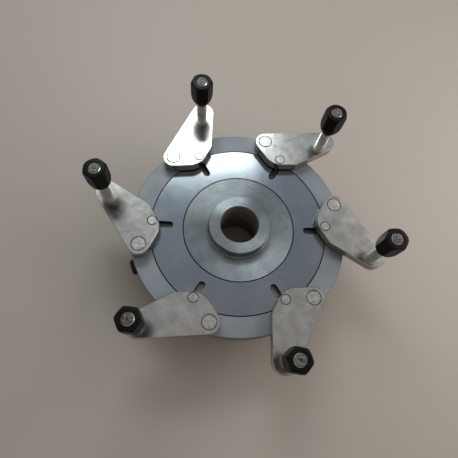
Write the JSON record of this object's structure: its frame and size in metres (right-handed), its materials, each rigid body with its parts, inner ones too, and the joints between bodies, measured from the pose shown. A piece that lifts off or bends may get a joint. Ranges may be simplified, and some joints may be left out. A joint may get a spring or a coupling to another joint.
{
  "type": "lathe chuck",
  "caption": "Self-centring lathe chuck: a slotted disc turned by a side pinion swings arms with upright hexagonal gripping posts round a central boss.",
  "frame": {"origin": "centre of the back mounting face, on the spindle axis", "axes": "+Z along the spindle axis towards the work; +X from the axis through the pivot of arm 1"},
  "size_m": [0.4891, 0.5392, 0.218],
  "materials": {
    "ground_steel": "ground, satin, cool grey",
    "turned_steel": "turned, fine concentric marks",
    "casing_steel": "turned, dull",
    "dark_steel": "black oxide, matt",
    "gear_steel": "milled and hardened",
    "bronze": "bored bearing bronze",
    "black_screws": "black oxide",
    "pin_steel": "ground pin ends",
    "black_oxide": "black oxide, oiled",
    "arm_plate": "milled and lightly polished plate",
    "post_steel": "bright ground rod",
    "black_grip": "black moulded nylon, semi-matt"
  },
  "bodies": {
    "chuck_body": {"adapter_flange": "dark_steel", "body_casing": "casing_steel", "outer_ring": "ground_steel", "center_hub": "turned_steel", "thrust_washer": "bronze", "pivot_bushes": "bronze", "pinion_block": "dark_steel", "pinion_bushes": "bronze", "ring_screws": "black_screws", "hub_screws": "black_screws", "adapter_screws": "black_screws", "block_screws": "black_screws", "dowel_pins": "pin_steel"},
    "drive_disc": {"drive_disc": "ground_steel", "journal_bush": "bronze", "gear_sector": "gear_steel", "sector_screws": "black_screws"},
    "drive_pinion": {"drive_pinion": "black_oxide", "pinion_collar": "dark_steel"},
    "swing_arm_1": {"arm_1": "arm_plate", "pivot_pin_1": "pin_steel", "pin_clip_1": "black_screws", "drive_pin_1": "pin_steel", "grip_post_1": "post_steel", "grip_1": "black_grip"},
    "swing_arm_2": {"arm_2": "arm_plate", "pivot_pin_2": "pin_steel", "pin_clip_2": "black_screws", "drive_pin_2": "pin_steel", "grip_post_2": "post_steel", "grip_2": "black_grip"},
    "swing_arm_3": {"arm_3": "arm_plate", "pivot_pin_3": "pin_steel", "pin_clip_3": "black_screws", "drive_pin_3": "pin_steel", "grip_post_3": "post_steel", "grip_3": "black_grip"},
    "swing_arm_4": {"arm_4": "arm_plate", "pivot_pin_4": "pin_steel", "pin_clip_4": "black_screws", "drive_pin_4": "pin_steel", "grip_post_4": "post_steel", "grip_4": "black_grip"},
    "swing_arm_5": {"arm_5": "arm_plate", "pivot_pin_5": "pin_steel", "pin_clip_5": "black_screws", "drive_pin_5": "pin_steel", "grip_post_5": "post_steel", "grip_5": "black_grip"},
    "swing_arm_6": {"arm_6": "arm_plate", "pivot_pin_6": "pin_steel", "pin_clip_6": "black_screws", "drive_pin_6": "pin_steel", "grip_post_6": "post_steel", "grip_6": "black_grip"}
  },
  "joints": [
    {"name": "disc_turn", "type": "hinge", "parent": "chuck_body", "child": "drive_disc", "pos_m": [0, 0, 0.094], "axis": [0, 0, 1], "range_deg": [0, 12.86]},
    {"name": "pinion_turn", "type": "hinge", "parent": "chuck_body", "child": "drive_pinion", "pos_m": [-0.14943, -0.01307, 0.0548], "axis": [-0.9962, -0.0872, 0], "range_deg": [-110, 5]},
    {"name": "arm_swing_1", "type": "hinge", "parent": "chuck_body", "child": "swing_arm_1", "pos_m": [0.1835, 0, 0.106], "axis": [0, 0, 1], "range_deg": [-48.2, 1]},
    {"name": "arm_swing_2", "type": "hinge", "parent": "chuck_body", "child": "swing_arm_2", "pos_m": [0.09175, 0.15892, 0.106], "axis": [0, 0, 1], "range_deg": [-48.2, 1]},
    {"name": "arm_swing_3", "type": "hinge", "parent": "chuck_body", "child": "swing_arm_3", "pos_m": [-0.09175, 0.15892, 0.106], "axis": [0, 0, 1], "range_deg": [-48.2, 1]},
    {"name": "arm_swing_4", "type": "hinge", "parent": "chuck_body", "child": "swing_arm_4", "pos_m": [-0.1835, 0, 0.106], "axis": [0, 0, 1], "range_deg": [-48.2, 1]},
    {"name": "arm_swing_5", "type": "hinge", "parent": "chuck_body", "child": "swing_arm_5", "pos_m": [-0.09175, -0.15892, 0.106], "axis": [0, 0, 1], "range_deg": [-48.2, 1]},
    {"name": "arm_swing_6", "type": "hinge", "parent": "chuck_body", "child": "swing_arm_6", "pos_m": [0.09175, -0.15892, 0.106], "axis": [0, 0, 1], "range_deg": [-48.2, 1]}
  ],
  "couplings": [
    {"joint": "pinion_turn", "follows": "disc_turn", "ratio": -8.3333},
    {"joint": "arm_swing_1", "follows": "disc_turn", "ratio": -3.7313},
    {"joint": "arm_swing_2", "follows": "disc_turn", "ratio": -3.7313},
    {"joint": "arm_swing_3", "follows": "disc_turn", "ratio": -3.7313},
    {"joint": "arm_swing_4", "follows": "disc_turn", "ratio": -3.7313},
    {"joint": "arm_swing_5", "follows": "disc_turn", "ratio": -3.7313},
    {"joint": "arm_swing_6", "follows": "disc_turn", "ratio": -3.7313}
  ]
}
